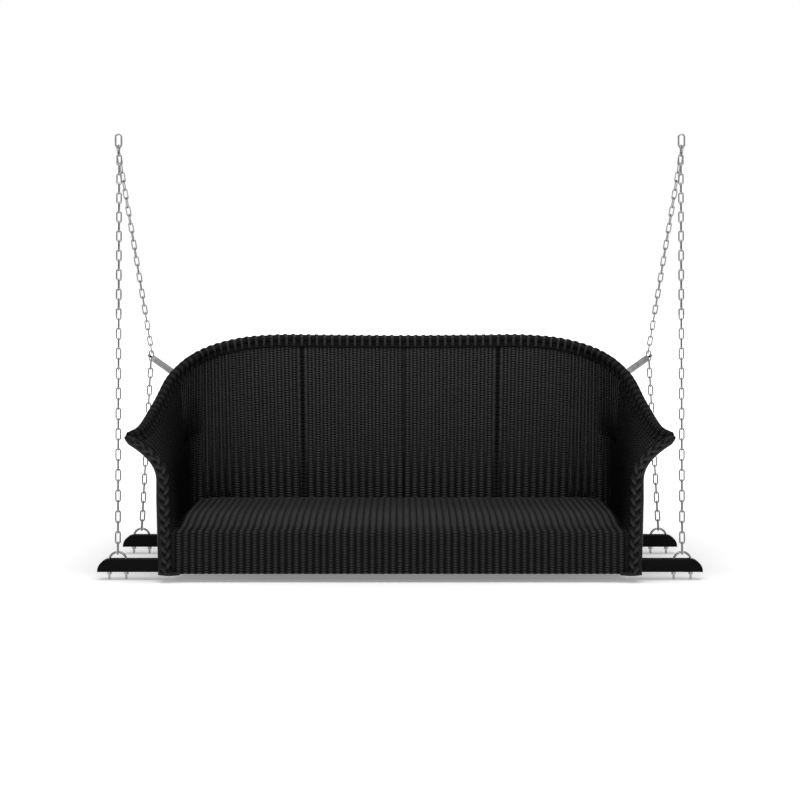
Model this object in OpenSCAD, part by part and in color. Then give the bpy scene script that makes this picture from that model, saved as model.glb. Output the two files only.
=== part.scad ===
// Woven porch swing: a wrap-around woven seat body on a tube frame, carried by two rails,
// four U-bolts and four chains that meet in two hanging links.
// The origin is midway between the two hook points; +Z is up and +Y is to the rear.

/* [Hanging] */
// Distance between the two hook points
hook_span = 1640; // [1610:1:1670]
// Height of the hook points above the bottom of the body
hook_height = 1220; // [1150:1:1300]
// Distance of the hook line behind the front of the apron
hook_back = 323; // [300:1:340]
// Wire diameter of the hanging links
hanger_wire = 5; // [4.6:0.1:5.4]
// Inside length of the hanging links
hanger_inside = 34; // [32:0.5:44]

/* [Chain] */
// Wire diameter of a chain link
link_wire = 3.8; // [3.4:0.1:4]
// Inside length of a chain link
link_inside = 29.2; // [27:0.1:32]
// Inside width of a chain link
link_width = 8.6; // [8.2:0.1:9.4]

/* [Rails] */
// Overall length of each rail
rail_length = 1658; // [1620:1:1700]
// Height of a rail
rail_height = 34; // [30:1:38]
// Thickness of a rail from front to back
rail_depth = 30; // [26:1:32]
// Centre of the front rail behind the apron
front_rail_y = 50; // [50:1:56]
// Centre of the rear rail behind the apron
rear_rail_y = 463; // [458:1:463]
// Distance between the U-bolt centres of one rail
bolt_span = 1549; // [1530:1:1560]
// Distance between the two legs of a U-bolt
bolt_legs = 46.7; // [44:0.1:50]
// Wire diameter of a U-bolt
bolt_wire = 6; // [5:0.5:6.5]

/* [Seat] */
// Height of the seat at the back
seat_height = 146; // [140:1:150]
// Height of the upright part of the apron
apron_height = 107; // [100:1:110]
// Half width of the seat between the arms
seat_half = 614; // [606:1:618]
// Half width of the apron at its bottom edge
apron_half = 615; // [605:1:620]

/* [Back and arms] */
// Height of the back at the centre of its rolled rim
back_height = 610; // [580:1:640]
// Half width of the body at the base of the arms
body_half = 632; // [628:1:636]
// Distance of the back's base behind the apron
back_base = 484; // [484:1:490]
// Radius of the body's corners at the base
corner_radius = 60; // [56:1:64]
// Thickness of the woven walls
weave_t = 8; // [6:0.5:9]
// Radius of the rolled rim
roll_radius = 15; // [13:0.5:16]

/* [Frame] */
// Diameter of the rim, post and upright tubes
tube_d = 19; // [17:0.5:19]
// Diameter of the base and seat tubes
bar_d = 22; // [20:1:22]
// Wall of the straight tubes
tube_wall = 1.6; // [1.2:0.1:2.5]
// Distance of the back uprights from the middle
upright_x = 290; // [260:5:320]
// Diameter of the chain support arms
support_d = 20; // [18:0.5:22]

/* [Hidden] */

eps = 0.4;              // clearance between pieces of the body
link_gap = 0.3;         // play between two loaded links
hook_gap = 2.8;         // play of the first links, which share one bow
open_gap = 1;           // play of the last link in a front U-bolt
tip_gap = 5.2;          // play of the last upper link at the support arm's tip
pin_shift = 4;          // height of the middle of the pin's link above the pin
side_step = 2.1;        // offset of the two first links from the hook's centre
hanger_width = 12;      // inside width of a hanging link

rail_nose = 32;         // radius of a rail's rounded end
bolt_sink = 5;          // depth of the bow's centre below the top of the rail
bolt_tail = 22;         // length of a U-bolt's legs below the rail
washer_t = 1.5;
nut_h = 6.5;
nut_af = 11;

nose_r = 15;            // radius of the seat's front edge
seat_rise = 24;         // drop of the seat at its front edge
seat_rise_run = 190;    // distance over which the seat falls to its front edge
edge_roll = 25;         // radius of the seat's rolled side edges
apron_top_half = 621;   // half width of the apron at its top

post_x = 642;           // centre of an arm's front post at its base
post_y = 14;
wrap_r = 17;
arm_tip = [744, post_y, 369];
wrap_top = 1.015;       // height of the wound tip of an arm, as a share of the post's
flare_start = 0.68;     // share of the arm's height at which the flare begins
lean_start = 0.22;      // share of the back's height at which the lean begins

corner_start = body_half - corner_radius;
corner_arc = corner_radius * PI / 2;
corner_y = back_base - corner_radius;
wall_end = corner_start + corner_arc + corner_y - post_y;

// Centre of the rolled rim: distance round the base from the middle of the back, then x, y and z
rim_rows = [
    [0, 0, 606, 614],
    [240, 250, 602, 616],
    [360, 377, 590, 617],
    [480, 499, 554, 606],
    [600, 602, 486, 573],
    [720, 667, 380, 516],
    [840, 693, 254, 446],
    [960, 710, 127, 395],
    [1030, 720, 62, 379],
    [wall_end, arm_tip.x, arm_tip.y, arm_tip.z]
];
arm_front = wall_end - 18.5;      // front edge of the arm's woven wall
panel_seam = 600;               // seam between the back and an arm, round the base
rise = back_height / 610;

support_tip = [775, 650, 558];  // middle of the pin that carries the chain
support_share = 0.89;           // height of the collar on the corner post
corner_post_s = 640;
collar_t = 5;           // thickness of the collar round the corner post
upright_gap = 1.8;      // clearance between the back and its uprights

function unit(v) = v / norm(v);
function ramp(x) = max(0, min(1, x));
function smooth(x) = ramp(x) * ramp(x) * (3 - 2 * ramp(x));

// ---------- surfaces ----------

function base_side(s) =
    s < corner_start ? [s, back_base] :
    s < corner_start + corner_arc ?
        let (a = (s - corner_start) / corner_radius * 180 / PI)
        [corner_start + corner_radius * sin(a), corner_y + corner_radius * cos(a)] :
    [body_half, corner_y - (s - corner_start - corner_arc)];

function rim_at(i) = [rim_rows[i][1], rim_rows[i][2], rim_rows[i][3] * rise];
function rim_slope(i) =
    i == 0 ? [rim_rows[1][1] / rim_rows[1][0], 0, 0] :
    i == len(rim_rows) - 1 ? (rim_at(i) - rim_at(i - 1)) / (rim_rows[i][0] - rim_rows[i - 1][0]) :
    (rim_at(i + 1) - rim_at(i - 1)) / (rim_rows[i + 1][0] - rim_rows[i - 1][0]);
function rim_span(s, i = 0) =
    i >= len(rim_rows) - 2 || s < rim_rows[i + 1][0] ? i : rim_span(s, i + 1);
function rim_side(s) =
    let (i = rim_span(s))
    let (h = rim_rows[i + 1][0] - rim_rows[i][0])
    let (t = (s - rim_rows[i][0]) / h)
    let (a = 1 - 3 * t * t + 2 * t * t * t)
    a * rim_at(i) + (1 - a) * rim_at(i + 1)
        + h * t * (1 - t) * ((1 - t) * rim_slope(i) - t * rim_slope(i + 1));

function flare(w) = 0.1 * w + 0.9 * pow(max(0, (w - flare_start) / (1 - flare_start)), 2.2);
function lean(w) = pow(max(0, (w - lean_start) / (1 - lean_start)), 1.1);
function outward(s, w) =
    let (k = smooth((s - 560) / (wall_end - 560)))
    lean(w) * (1 - k) + flare(w) * k;
function wall_side(s, w) =
    let (b = base_side(s), r = rim_side(s), f = outward(s, w))
    [b.x + (r.x - b.x) * f, b.y + (r.y - b.y) * f, r.z * w];

// A point of the woven wall: s is the distance round the base, w the share of the height
function wall(s, w) =
    let (p = wall_side(abs(s), w))
    s < 0 ? [-p.x, p.y, p.z] : p;
function wall_normal(s, w) =
    unit(cross(wall(s + 2, w) - wall(s - 2, w), wall(s, w + 0.01) - wall(s, w - 0.01)));
function behind_wall(s, w, d) = wall(s, w) - d * wall_normal(s, w);
function wall_top(s) =
    1 - (roll_radius + 2.6) * 0.02 / norm(wall(s, 1) - wall(s, 0.98));

function post(w, inset = 0, y = post_y) =
    [post_x - inset + (arm_tip.x - post_x) * flare(w), y, arm_tip.z * rise * w];

// A point of the woven seat: t runs across it from -1 to 1, q from the apron's hem to the back
nose_arc = nose_r * PI / 2;
function deck_z(y) =
    seat_height - seat_rise * pow(max(0, 1 - (y - nose_r) / seat_rise_run), 2);
function seat_line(q) =
    q < apron_height ? [0, q] :
    q < apron_height + nose_arc ?
        let (a = (q - apron_height) / nose_r * 180 / PI)
        [nose_r * (1 - cos(a)), apron_height + nose_r * sin(a)] :
    let (y = nose_r + q - apron_height - nose_arc)
    [y, deck_z(y)];
seat_end = apron_height + nose_arc + back_base - weave_t - 2.4 - nose_r;
function seat_half_at(q) =
    q < apron_height ? apron_half + (apron_top_half - apron_half) * q / apron_height :
    apron_top_half + (seat_half - apron_top_half) * smooth((q - apron_height) / 50);
// Half width that the rounded corners of the body leave free
function corner_half_at(y) =
    let (r = corner_radius - weave_t - 1.2)
    corner_start + sqrt(max(0, r * r - pow(max(0, y - corner_y), 2)));
function seat_point(t, q) =
    let (p = seat_line(q))
    let (half = min(seat_half_at(q), corner_half_at(p[0] + weave_t / 2)))
    let (r = edge_roll * smooth((q - apron_height - 10) / 60) + 0.01)
    let (over = max(0, abs(t) * half - half + r))
    [t * half, p[0], p[1] - (r - sqrt(max(0, r * r - over * over)))];

// ---------- building blocks ----------

module hang() {
    translate([0, -hook_back, -hook_height]) children();
}

module side(s) {
    mirror([s < 0 ? 1 : 0, 0, 0]) children();
}

// A tube of elliptical rings along a path; each ring has its two radii
module sweep(path, radii, sides, ref) {
    last = len(path) - 1;
    rings = [
        for (i = [0:last])
            let (t = unit(path[min(i + 1, last)] - path[max(i - 1, 0)]))
            let (u = unit(cross(t, ref)))
            let (v = cross(u, t))
            for (k = [0:sides - 1])
                path[i] + radii[i][0] * cos(360 * k / sides) * u + radii[i][1] * sin(360 * k / sides) * v
    ];
    walls = [
        for (i = [0:last - 1])
            for (k = [0:sides - 1])
                let (a = i * sides + k, b = i * sides + (k + 1) % sides)
                each [[a, b, b + sides], [a, b + sides, a + sides]]
    ];
    near = [for (k = [sides - 1:-1:0]) k];
    far = [for (k = [0:sides - 1]) last * sides + k];
    polyhedron(rings, concat(walls, [near, far]), convexity = 6);
}

module round_sweep(path, r, sides, ref) {
    sweep(path, [for (p = path) [r, r]], sides, ref);
}

// The path with both ends drawn out by d, for a cutter that passes through
function drawn_out(path, d) =
    let (last = len(path) - 1)
    concat(
        [path[0] + d * unit(path[0] - path[1])],
        [for (i = [1:last - 1]) path[i]],
        [path[last] + d * unit(path[last] - path[last - 1])]
    );

// A closed sheet of even thickness on a grid of points
module sheet(grid, t) {
    m = len(grid) - 1;
    n = len(grid[0]) - 1;
    normals = [
        for (i = [0:m])
            [for (j = [0:n])
                unit(cross(
                    grid[min(i + 1, m)][j] - grid[max(i - 1, 0)][j],
                    grid[i][min(j + 1, n)] - grid[i][max(j - 1, 0)]
                ))]
    ];
    shell(grid - normals * t / 2, grid + normals * t / 2);
}

// The closed solid between two grids of points
module shell(near, far) {
    m = len(near) - 1;
    n = len(near[0]) - 1;
    row = n + 1;
    half = (m + 1) * row;
    points = [for (grid = [near, far]) for (line = grid) for (p = line) p];
    faces = [
        for (i = [0:m - 1])
            for (j = [0:n - 1])
                let (a = i * row + j, b = a + row, c = b + 1, d = a + 1)
                each [
                    [a, b, c], [a, c, d],
                    [a + half, c + half, b + half], [a + half, d + half, c + half]
                ]
    ];
    ends = [
        for (i = [0:m - 1])
            let (a = i * row, b = a + row, c = a + n, d = b + n)
            each [
                [a, a + half, b + half], [a, b + half, b],
                [c, d, d + half], [c, d + half, c + half]
            ]
    ];
    sides = [
        for (j = [0:n - 1])
            let (a = j, b = j + 1, c = m * row + j, d = c + 1)
            each [
                [a, b, b + half], [a, b + half, a + half],
                [c, c + half, d + half], [c, d + half, d]
            ]
    ];
    polyhedron(points, concat(faces, ends, sides), convexity = 6);
}

// Children with their Z axis along d at p, turned about the vertical
module aim(p, d, turn = 0) {
    azimuth = atan2(d.y, d.x);
    translate(p)
        rotate([0, acos(unit(d).z), azimuth])
            rotate([0, 0, turn - azimuth])
                children();
}

module ring_link(wire, inside, width) {
    reach = inside / 2 - width / 2;
    radius = width / 2 + wire / 2;
    for (s = [0, 180])
        rotate([0, s, 0])
            translate([0, 0, reach])
                rotate([90, 0, 0])
                    rotate_extrude(angle = 180, $fn = 32)
                        translate([radius, 0])
                            circle(d = wire, $fn = 20);
    for (x = [-radius, radius])
        translate([x, 0, 0])
            cylinder(d = wire, h = 2 * reach, center = true, $fn = 20);
}

module chain_link() {
    ring_link(link_wire, link_inside, link_width);
}

// ---------- chain runs, on the +X side, in the body's frame ----------
// A run is [top wire centre, its radius and play, bottom wire centre, its radius and play]

hanger_low = [hook_span / 2, hook_back, hook_height - hanger_inside - hanger_wire / 2];
function bow_top(y) = [bolt_span / 2, y, rail_height - bolt_sink + bolt_legs / 2];
lower_dir = unit(bow_top(rear_rail_y) - support_tip);
pin_link = support_tip - lower_dir * pin_shift;
pin_bow = pin_link - lower_dir * (link_inside + link_wire) / 2;

front_run = [
    hanger_low - [side_step, 0, 0], hanger_wire / 2 + hook_gap,
    bow_top(front_rail_y), bolt_wire / 2 + open_gap
];
upper_run = [
    hanger_low + [side_step, 0, 0], hanger_wire / 2 + hook_gap,
    pin_bow, link_wire / 2 + tip_gap
];
lower_run = [
    pin_link, link_inside / 2,
    bow_top(rear_rail_y), bolt_wire / 2 + link_gap
];

function run_dir(run) = unit(run[2] - run[0]);
function run_span(run) = norm(run[2] - run[0]) + run[1] + run[3] - link_inside;
function run_links(run) = 1 + ceil(run_span(run) / (link_inside - link_gap));
function run_place(run, i) =
    run[0] + run_dir(run) * (link_inside / 2 - run[1] + i * run_span(run) / (run_links(run) - 1));
function half_turn(a) = a - 180 * round(a / 180);
// The turn, for aim(), that lays the X axis of a piece along d as near as can be to "side"
function turn_of(d, side) =
    let (azimuth = atan2(d.y, d.x))
    let (low = [d.z * cos(azimuth), d.z * sin(azimuth), -norm([d.x, d.y])])
    azimuth + atan2(side * [-sin(azimuth), cos(azimuth), 0], side * low);

// Links number "first" to "last"; "start" and "finish" are the turns of the run's end links
module chain(run, start, finish, first, last) {
    count = run_links(run);
    twist = half_turn(finish - start - 90 * (count - 1)) / (count - 1);
    for (i = [first:last])
        aim(run_place(run, i), run_dir(run), start + i * (90 + twist))
            chain_link();
}

edge_on = 90;
support_root = upright_axis(corner_post_s, support_share);
support_dir = unit(support_tip - support_root);
pin_side = unit(unit(cross(lower_dir, support_dir)) + [1.5, 0, 0]);
pin_turn = turn_of(lower_dir, pin_side);
upper_finish = turn_of(run_dir(upper_run), pin_side) + 90;

module hanging_link(s) {
    color("silver")
        hang() side(s)
            translate([hook_span / 2, hook_back, hook_height - hanger_inside / 2])
                ring_link(hanger_wire, hanger_inside, hanger_width);
}

module first_links(s) {
    color("silver")
        hang() side(s) {
            chain(front_run, edge_on, edge_on, 0, 0);
            chain(upper_run, edge_on, upper_finish, 0, 0);
        }
}

module front_chain(s) {
    color("silver")
        hang() side(s)
            chain(front_run, edge_on, edge_on, 1, run_links(front_run) - 1);
}

module rear_upper_chain(s) {
    color("silver")
        hang() side(s)
            chain(upper_run, edge_on, upper_finish, 1, run_links(upper_run) - 1);
}

module rear_lower_chain(s) {
    color("silver")
        hang() side(s)
            chain(lower_run, pin_turn, edge_on, 0, run_links(lower_run) - 1);
}

// ---------- rails and U-bolts ----------

module each_leg() {
    for (y = [front_rail_y, rear_rail_y])
        for (s = [-1, 1])
            for (leg = [-1, 1])
                translate([s * bolt_span / 2 + leg * bolt_legs / 2, y, 0])
                    children();
}

module u_bolt(s, y) {
    bow_z = rail_height - bolt_sink;
    color("silver")
        hang() side(s)
            translate([bolt_span / 2, y, 0]) {
                translate([0, 0, bow_z])
                    rotate([90, 0, 0])
                        rotate_extrude(angle = 180, $fn = 64)
                            translate([bolt_legs / 2, 0])
                                circle(d = bolt_wire, $fn = 24);
                for (x = [-bolt_legs / 2, bolt_legs / 2])
                    translate([x, 0, -bolt_tail])
                        cylinder(d = bolt_wire, h = bow_z + bolt_tail, $fn = 24);
            }
}

module u_bolt_washers() {
    color("silver")
        hang() each_leg()
            translate([0, 0, -washer_t - 0.1])
                difference() {
                    cylinder(d = 14, h = washer_t, $fn = 32);
                    translate([0, 0, -1]) cylinder(d = bolt_wire + 0.6, h = washer_t + 2, $fn = 32);
                }
}

module u_bolt_nuts() {
    color("silver")
        hang() each_leg()
            translate([0, 0, -washer_t - nut_h - 0.2])
                difference() {
                    cylinder(d = nut_af / cos(30), h = nut_h, $fn = 6);
                    translate([0, 0, -1]) cylinder(d = bolt_wire + 0.1, h = nut_h + 2, $fn = 32);
                }
}

screw_x = [-450, -150, 150, 450];

module rail_profile() {
    corner = rail_length / 2 - rail_nose;
    difference() {
        translate([-rail_length / 2, 0]) square([rail_length, rail_height]);
        for (s = [-1, 1])
            translate([s * corner, rail_height - rail_nose])
                scale([s, 1])
                    difference() {
                        square([rail_nose + 1, rail_nose + 1]);
                        circle(r = rail_nose, $fn = 96);
                    }
    }
}

module rail(y) {
    color("black")
        hang()
            difference() {
                translate([0, y + rail_depth / 2, 0])
                    rotate([90, 0, 0])
                        linear_extrude(rail_depth) rail_profile();
                translate([0, 0, -1])
                    each_leg() cylinder(d = bolt_wire + 1.5, h = rail_height + 2, $fn = 32);
                for (x = screw_x)
                    translate([x, y, -1]) {
                        cylinder(d = 6.8, h = rail_height + 2, $fn = 32);
                        cylinder(d = 12.5, h = 6.3, $fn = 32);
                    }
            }
}

module rail_screws() {
    color("dimgray")
        hang()
            for (y = [front_rail_y, rear_rail_y])
                for (x = screw_x)
                    translate([x, y, 0.2]) {
                        cylinder(d = 11.5, h = 4.5, $fn = 32);
                        cylinder(d = 6, h = rail_height + 8, $fn = 32);
                    }
}

// ---------- seat frame ----------

base_z = rail_height + 0.5 + bar_d / 2;
nose_bar_d = bar_d + 3;
front_bar_z = 102;
rear_bar_z = 122.6;
bar_side_x = 550;
bar_end = rear_rail_y - bar_d / 2 - eps;

module tube_x(half, y, z, d) {
    translate([-half, y, z])
        rotate([0, 90, 0])
            difference() {
                cylinder(d = d, h = 2 * half, $fn = 40);
                translate([0, 0, -1]) cylinder(d = d - 2 * tube_wall, h = 2 * half + 2, $fn = 40);
            }
}

module tube_y(x, y0, y1, z, d) {
    translate([x, y0, z])
        rotate([-90, 0, 0])
            difference() {
                cylinder(d = d, h = y1 - y0, $fn = 40);
                translate([0, 0, -1]) cylinder(d = d - 2 * tube_wall, h = y1 - y0 + 2, $fn = 40);
            }
}

module base_tube(y, half) {
    color("dimgray")
        hang()
            difference() {
                tube_x(half, y, base_z, bar_d);
                for (x = screw_x)
                    translate([x, y, rail_height - 5]) cylinder(d = 6.8, h = 10, $fn = 32);
            }
}

module base_side_tube(s) {
    color("dimgray")
        hang()
            tube_y(s * bar_side_x, front_rail_y + bar_d / 2 + eps, bar_end, base_z, bar_d);
}

module seat_front_tube() {
    color("dimgray") hang() tube_x(598, front_rail_y, front_bar_z, nose_bar_d);
}

module seat_rear_tube() {
    color("dimgray") hang() tube_x(bar_side_x + bar_d / 2, rear_rail_y, rear_bar_z, bar_d);
}

module seat_side_tube(s) {
    y0 = front_rail_y + nose_bar_d / 2 + eps;
    color("dimgray")
        hang()
            tube_y(s * bar_side_x, y0, bar_end, (front_bar_z + rear_bar_z) / 2 - 2, bar_d);
}

module riser_tubes() {
    low = base_z + bar_d / 2 + eps;
    color("dimgray")
        hang()
            for (x = [-520, -190, 190, 520]) {
                translate([x, front_rail_y, low])
                    cylinder(d = tube_d, h = front_bar_z - nose_bar_d / 2 - eps - low, $fn = 32);
                translate([x, rear_rail_y, low])
                    cylinder(d = tube_d, h = rear_bar_z - bar_d / 2 - eps - low, $fn = 32);
            }
}

// Outline of the seat from the side, pulled in by d
module seat_side_view(d) {
    steps = 24;
    translate([d, -d])
        polygon(concat(
            [for (i = [0:steps]) seat_line(apron_height + (seat_end - apron_height) * pow(i / steps, 2))],
            [[back_base, -100], [0, -100]]
        ));
}

module seat_slats() {
    color("dimgray")
        hang()
            for (x = [-440, -220, 0, 220, 440])
                translate([x - 15, 0, 0])
                    rotate([90, 0, 90])
                        linear_extrude(30)
                            intersection() {
                                difference() {
                                    seat_side_view(weave_t + 0.6);
                                    seat_side_view(weave_t + 3.6);
                                }
                                translate([40, 110]) square([rear_rail_y - 29, 60]);
                            }
}

module nose_rod() {
    color("dimgray")
        hang()
            translate([-600, nose_r + weave_t / 2, apron_height - weave_t / 2])
                rotate([0, 90, 0])
                    cylinder(r = nose_r - weave_t / 2 - 1, h = 1200, $fn = 32);
}

// ---------- rim, posts and uprights ----------

rim_steps = 30;
rim_step = (wall_end - 14) / rim_steps;
function rim_path(from = -rim_steps, to = rim_steps) =
    [for (i = [from:to]) wall(i * rim_step, 1)];
function post_path(from, to, steps, inset = 0, y = post_y) =
    [for (i = [0:steps]) post(from + (to - from) * (1 - pow(1 - i / steps, 1.4)), inset, y)];
upright_steps = 10;
function upright_axis(s, w) =
    behind_wall(s, w, weave_t / 2 + upright_gap + tube_d / 2 + (s == corner_post_s ? collar_t : 0));
function upright_path(s, from = 0) =
    [for (i = [from:upright_steps]) upright_axis(s, 0.04 + 0.945 * i / upright_steps)];

module rim_core(r, from = -rim_steps, to = rim_steps) {
    round_sweep(rim_path(from, to), r, 12, [0, 0, 1]);
}

// The rim's end over a front post, drawn out past the post
module rim_end(r) {
    round_sweep(drawn_out(rim_path(rim_steps - 3), 3), r, 12, [0, 0, 1]);
}

module rim_tube() {
    color("dimgray")
        hang()
            rim_core(tube_d / 2);
}

module front_post(s) {
    color("dimgray")
        hang() side(s)
            difference() {
                round_sweep(post_path(0, 0.95, 14), tube_d / 2, 12, [0, 1, 0]);
                rim_end(tube_d / 2 + eps);
            }
}

module back_upright(s, station) {
    near = floor(station / rim_step);
    color("dimgray")
        hang() side(s)
            difference() {
                round_sweep(upright_path(station), tube_d / 2, 12, [1, 0, 0]);
                rim_core(tube_d / 2 + eps, near - 1, near + 2);
                each_rail_hole();
            }
}

module each_rail_hole() {
    for (y = [front_rail_y, rear_rail_y])
        translate([-rail_length / 2, y - rail_depth / 2 - 1, -1])
            cube([rail_length, rail_depth + 2, rail_height + 2]);
}

module rim_border() {
    color("black")
        hang()
            difference() {
                round_sweep(drawn_out(rim_path(), 5), roll_radius, 14, [0, 0, 1]);
                round_sweep(drawn_out(rim_path(), 7), tube_d / 2 + eps, 12, [0, 0, 1]);
                for (s = [-1, 1])
                    side(s) {
                        wrap_core(eps, 10);
                        for (station = [upright_x, corner_post_s])
                            round_sweep(
                                drawn_out(upright_path(station, upright_steps - 2), 1),
                                tube_d / 2 + eps, 12, [1, 0, 0]
                            );
                    }
            }
}

// ---------- woven panels ----------

module woven_seat() {
    across = 20;
    deck = apron_height + nose_arc;
    flat = deck + seat_rise_run;
    corner = deck + corner_y - nose_r - weave_t / 2;
    stations = concat(
        [0, apron_height / 2],
        [for (i = [0:5]) apron_height + nose_arc * i / 6],
        [for (i = [0:6]) deck + (flat - deck) * i / 6],
        [for (i = [1:6]) flat + (corner - flat) * i / 6],
        [for (i = [1:6]) corner + (seat_end - corner) * sin(i * 15)]
    );
    color("black")
        hang()
            sheet([
                for (i = [0:across])
                    let (a = 2 * i / across - 1)
                    let (t = sign(a) * (1 - pow(1 - abs(a), 2)))
                    [for (q = stations)
                        seat_point(t, q) - [0, 0, weave_t / 2] * min(1, q / apron_height)
                            + [0, weave_t / 2, 0]]
            ], weave_t);
}

function wall_grid(stations, up, d) =
    [for (s = stations)
        [for (j = [0:up]) behind_wall(s, wall_top(s) * (1 - pow(1 - j / up, 1.3)), d)]];

module wall_panel(stations, up) {
    difference() {
        shell(wall_grid(stations, up, weave_t / 2), wall_grid(stations, up, -weave_t / 2));
        each_rail_hole();
    }
}

module woven_back() {
    half = concat(
        [for (i = [0:10]) corner_start * i / 11],
        [for (i = [0:3]) corner_start + (panel_seam - corner_start) * i / 3]
    );
    color("black")
        hang()
            wall_panel(concat([for (i = [len(half) - 1:-1:1]) -half[i]], half), 12);
}

module woven_arm(s) {
    corner_end = corner_start + corner_arc;
    color("black")
        hang() side(s)
            wall_panel(
                concat(
                    [for (i = [0:6]) panel_seam + eps + (corner_end - panel_seam - eps) * i / 6],
                    [for (i = [1:14]) corner_end + (arm_front - corner_end) * i / 14]
                ),
                14
            );
}

module wrap_core(grow = 0, from = 0) {
    steps = 18;
    path = post_path(0, wrap_top, steps);
    radii = [for (i = [from:steps])
        let (slim = 0.18 * ramp((i / steps - 0.55) / 0.3) + 0.2 * pow(ramp((i / steps - 0.9) / 0.1), 2))
        let (r = wrap_r * (1 - slim) + grow)
        [r, r]];
    sweep([for (i = [from:steps]) path[i]], radii, 14, [0, 1, 0]);
}

module arm_wrap(s) {
    color("black")
        hang() side(s)
            difference() {
                wrap_core();
                round_sweep(drawn_out(post_path(0, 0.95, 14), 3), tube_d / 2 + eps, 12, [0, 1, 0]);
                rim_end(tube_d / 2 + eps);
            }
}

module arm_braid(s) {
    steps = 18;
    braid_half = 14.5;
    radii = [for (i = [0:steps])
        let (k = 1 - 0.5 * pow(max(0, i / steps - 0.7) / 0.3, 2))
        [braid_half * k, 4 * k]];
    color("black")
        hang() side(s)
            sweep(post_path(0, 0.985, steps, 9, post_y - wrap_r - 4 - eps), radii, 12, [0, 1, 0]);
}

// ---------- chain support arms ----------

collar_r = tube_d / 2 + collar_t;
post_dir = unit(upright_axis(corner_post_s, support_share + 0.02) - support_root);

module support_collar(s) {
    color("dimgray")
        hang() side(s)
            aim(support_root, post_dir, screw_turn)
                difference() {
                    cylinder(r = collar_r, h = 28, center = true, $fn = 48);
                    cylinder(r = tube_d / 2 + eps, h = 30, center = true, $fn = 48);
                    collar_holes(5.6);
                }
}

collar_screw_z = [-8, 8];
screw_turn = 40;
module collar_holes(d) {
    for (z = collar_screw_z)
        translate([0, 0, z])
            rotate([0, 90, 90])
                cylinder(d = d, h = 40, $fn = 24);
}

module collar_screws() {
    color("silver")
        hang()
            for (s = [-1, 1])
                side(s)
                    aim(support_root, post_dir, screw_turn)
                        for (z = collar_screw_z)
                            translate([0, tube_d / 2 + eps, z])
                                rotate([-90, 0, 0]) {
                                    cylinder(d = 5, h = 8, $fn = 24);
                                    translate([0, 0, 5.2]) cylinder(d = 9, h = 3.5, $fn = 32);
                                }
}

cap_length = 9;
pin_length = 24;
pin_r = 3.2;
head_r = 4.8;
support_length = norm(support_tip - support_root) - pin_length / 2 - cap_length;

module support_arm(s) {
    color("silver")
        hang() side(s)
            difference() {
                aim(support_root, support_dir)
                    difference() {
                        cylinder(d = support_d, h = support_length, $fn = 48);
                        translate([0, 0, -1])
                            cylinder(d = support_d - 2 * tube_wall, h = support_length + 2, $fn = 48);
                    }
                aim(support_root, post_dir)
                    cylinder(r = collar_r + eps, h = 60, center = true, $fn = 48);
            }
}

module support_cap(s) {
    color("black")
        hang() side(s)
            aim(support_root, support_dir)
                translate([0, 0, support_length])
                    rotate_extrude($fn = 48)
                        polygon([
                            [0, -15], [support_d / 2 - tube_wall - 0.1, -15],
                            [support_d / 2 - tube_wall - 0.1, 0.1], [support_d / 2, 0.1],
                            [support_d / 2, cap_length - 6], [support_d / 2 - 5, cap_length],
                            [pin_r, cap_length], [pin_r, cap_length + pin_length],
                            [head_r, cap_length + pin_length], [head_r, cap_length + pin_length + 2],
                            [head_r - 1, cap_length + pin_length + 3], [0, cap_length + pin_length + 3]
                        ]);
}

hanging_link(-1);  // hanging_link_left
hanging_link(1);  // hanging_link_right
first_links(-1);  // first_links_left
first_links(1);  // first_links_right
front_chain(-1);  // front_chain_left
front_chain(1);  // front_chain_right
rear_upper_chain(-1);  // rear_upper_chain_left
rear_upper_chain(1);  // rear_upper_chain_right
rear_lower_chain(-1);  // rear_lower_chain_left
rear_lower_chain(1);  // rear_lower_chain_right
u_bolt(-1, front_rail_y);  // u_bolt_front_left
u_bolt(1, front_rail_y);  // u_bolt_front_right
u_bolt(-1, rear_rail_y);  // u_bolt_rear_left
u_bolt(1, rear_rail_y);  // u_bolt_rear_right
u_bolt_washers();
u_bolt_nuts();
rail(front_rail_y);  // front_rail
rail(rear_rail_y);  // rear_rail
rail_screws();
base_tube(front_rail_y, 618);  // base_front_tube
base_tube(rear_rail_y, bar_side_x + bar_d / 2);  // base_rear_tube
base_side_tube(-1);  // base_side_tube_left
base_side_tube(1);  // base_side_tube_right
seat_front_tube();
seat_rear_tube();
seat_side_tube(-1);  // seat_side_tube_left
seat_side_tube(1);  // seat_side_tube_right
riser_tubes();
seat_slats();
nose_rod();
front_post(-1);  // front_post_left
front_post(1);  // front_post_right
rim_tube();
back_upright(-1, upright_x);  // back_upright_left
back_upright(1, upright_x);  // back_upright_right
back_upright(-1, corner_post_s);  // corner_post_left
back_upright(1, corner_post_s);  // corner_post_right
woven_seat();
woven_back();
woven_arm(-1);  // woven_arm_left
woven_arm(1);  // woven_arm_right
rim_border();
arm_wrap(-1);  // arm_wrap_left
arm_wrap(1);  // arm_wrap_right
arm_braid(-1);  // arm_braid_left
arm_braid(1);  // arm_braid_right
support_collar(-1);  // support_collar_left
support_collar(1);  // support_collar_right
collar_screws();
support_arm(-1);  // support_arm_left
support_arm(1);  // support_arm_right
support_cap(-1);  // support_cap_left
support_cap(1);  // support_cap_right
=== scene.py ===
import math

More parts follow.
